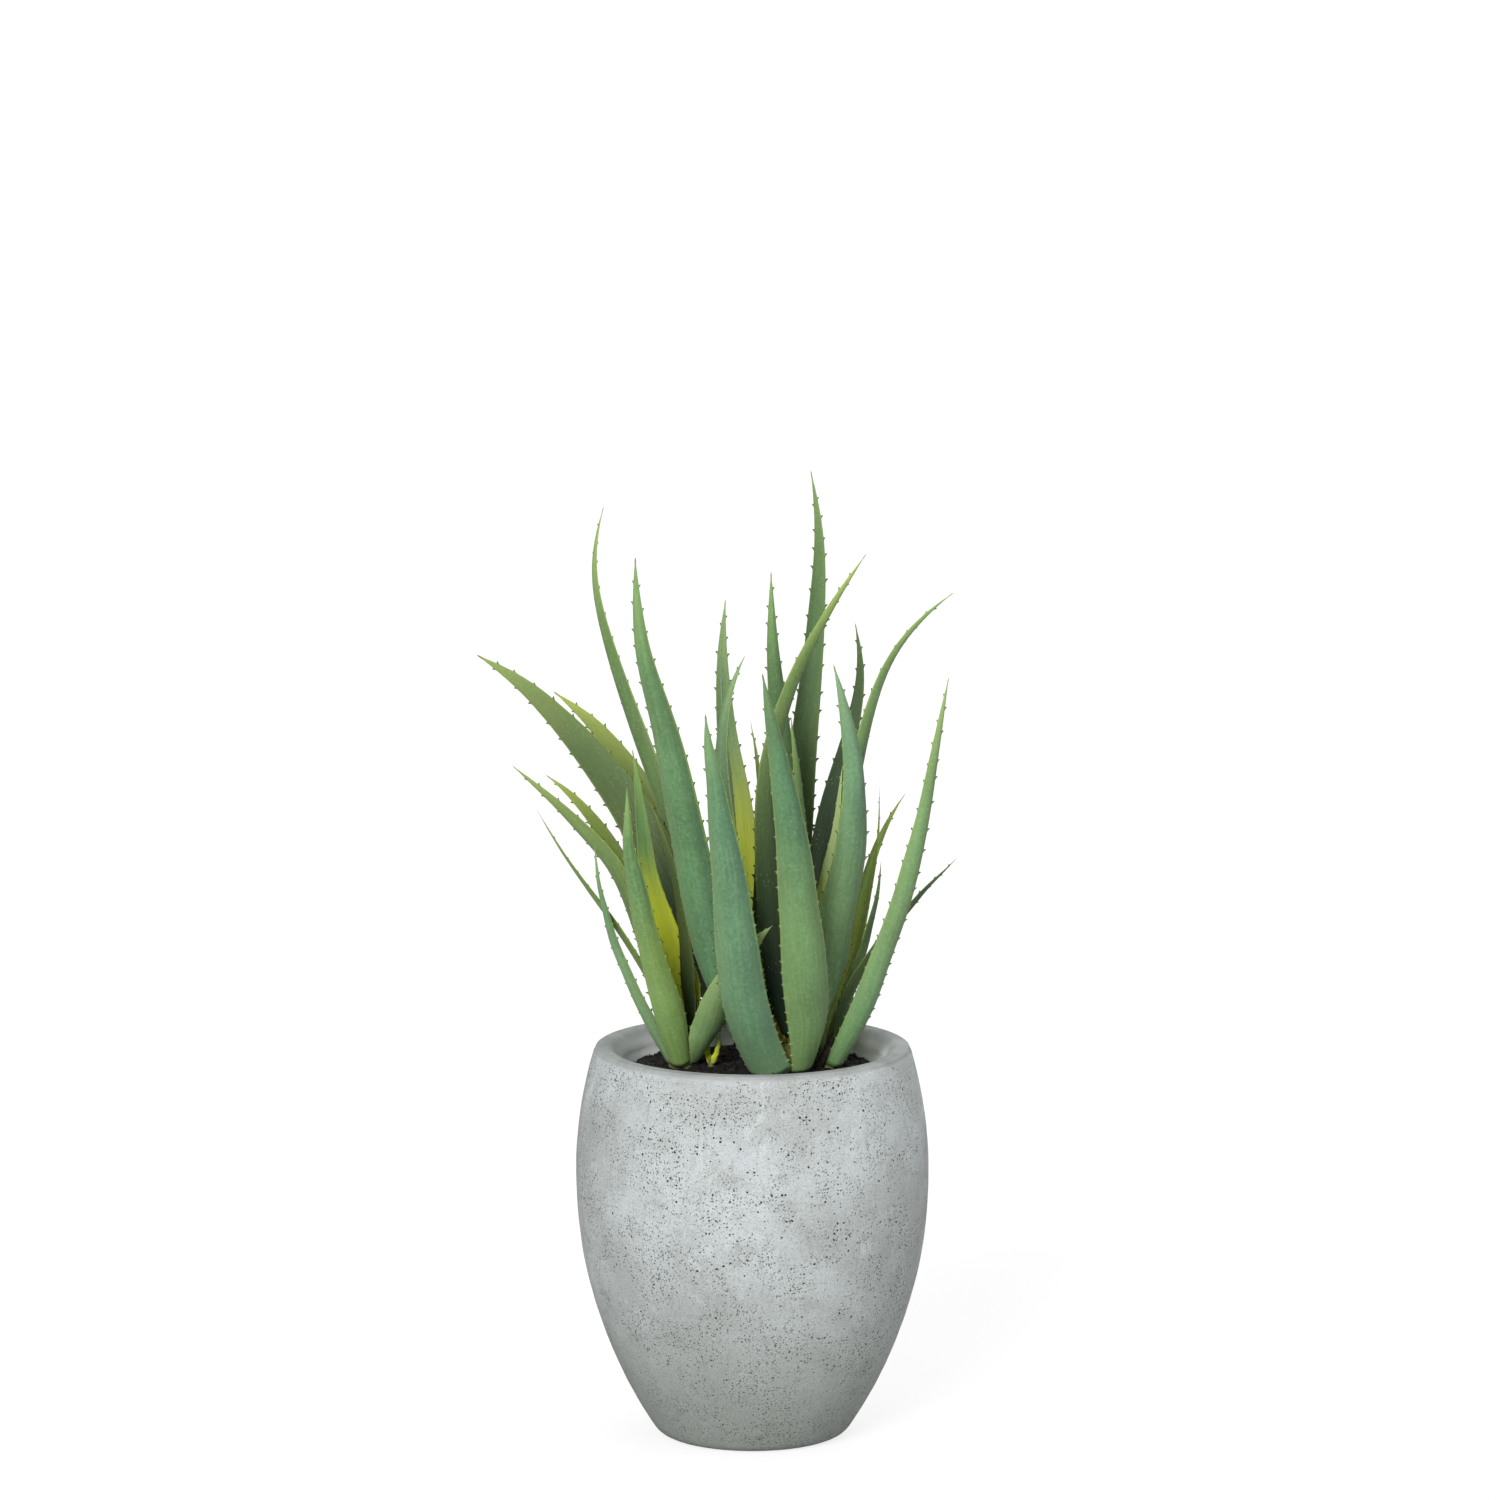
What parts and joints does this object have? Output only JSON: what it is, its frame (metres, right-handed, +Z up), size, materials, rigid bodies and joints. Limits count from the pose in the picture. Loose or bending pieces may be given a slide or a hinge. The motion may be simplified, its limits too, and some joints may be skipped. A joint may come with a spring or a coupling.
{
  "type": "potted aloe plant",
  "caption": "Potted aloe: a clump of upright toothed fleshy leaves, planted in dark soil in a tall rounded pale cement planter with a broad inward lip.",
  "frame": {"origin": "centre of the planter's flat underside", "axes": "+Z up; -Y is the front, the side shown towards the viewer; +X is to the viewer's right"},
  "size_m": [0.4816, 0.4593, 0.9605],
  "materials": {
    "cement": "pale grey cast cement, matt, mottled, with small dark air holes; the lip is smoother",
    "earth": null,
    "stem_bark": "pale olive to straw stem under the leaf bases, dull",
    "dry_stem": "almost black dry ribbed stem, dull",
    "leaf_skin": null
  },
  "bodies": {
    "root": {"back_leaf_01": "leaf_skin", "back_leaf_02": "leaf_skin", "back_leaf_03": "leaf_skin", "back_leaf_04": "leaf_skin", "back_leaf_05": "leaf_skin", "back_leaf_06": "leaf_skin", "back_leaf_07": "leaf_skin", "back_leaf_08": "leaf_skin", "back_leaf_09": "leaf_skin", "back_leaf_10": "leaf_skin", "back_leaf_11": "leaf_skin", "back_leaf_12": "leaf_skin", "back_leaf_13": "leaf_skin", "back_stem": "stem_bark", "dry_stub": "dry_stem", "left_pup_leaf_01": "leaf_skin", "left_pup_leaf_02": "leaf_skin", "left_pup_leaf_03": "leaf_skin", "left_pup_leaf_04": "leaf_skin", "left_pup_leaf_05": "leaf_skin", "left_pup_leaf_06": "leaf_skin", "left_pup_leaf_07": "leaf_skin", "left_pup_leaf_08": "leaf_skin", "left_pup_leaf_09": "leaf_skin", "left_pup_stem": "stem_bark", "mother_leaf_01": "leaf_skin", "mother_leaf_02": "leaf_skin", "mother_leaf_03": "leaf_skin", "mother_leaf_04": "leaf_skin", "mother_leaf_05": "leaf_skin", "mother_leaf_06": "leaf_skin", "mother_leaf_07": "leaf_skin", "mother_leaf_08": "leaf_skin", "mother_leaf_09": "leaf_skin", "mother_leaf_10": "leaf_skin", "mother_stem": "stem_bark", "planter": "cement", "right_pup_leaf_01": "leaf_skin", "right_pup_leaf_02": "leaf_skin", "right_pup_leaf_03": "leaf_skin", "right_pup_leaf_04": "leaf_skin", "right_pup_leaf_05": "leaf_skin", "right_pup_leaf_06": "leaf_skin", "right_pup_stem": "stem_bark", "soil": "earth", "sprout_leaf_01": "leaf_skin", "sprout_leaf_02": "leaf_skin", "sprout_stem": "stem_bark"}
  },
  "joints": []
}
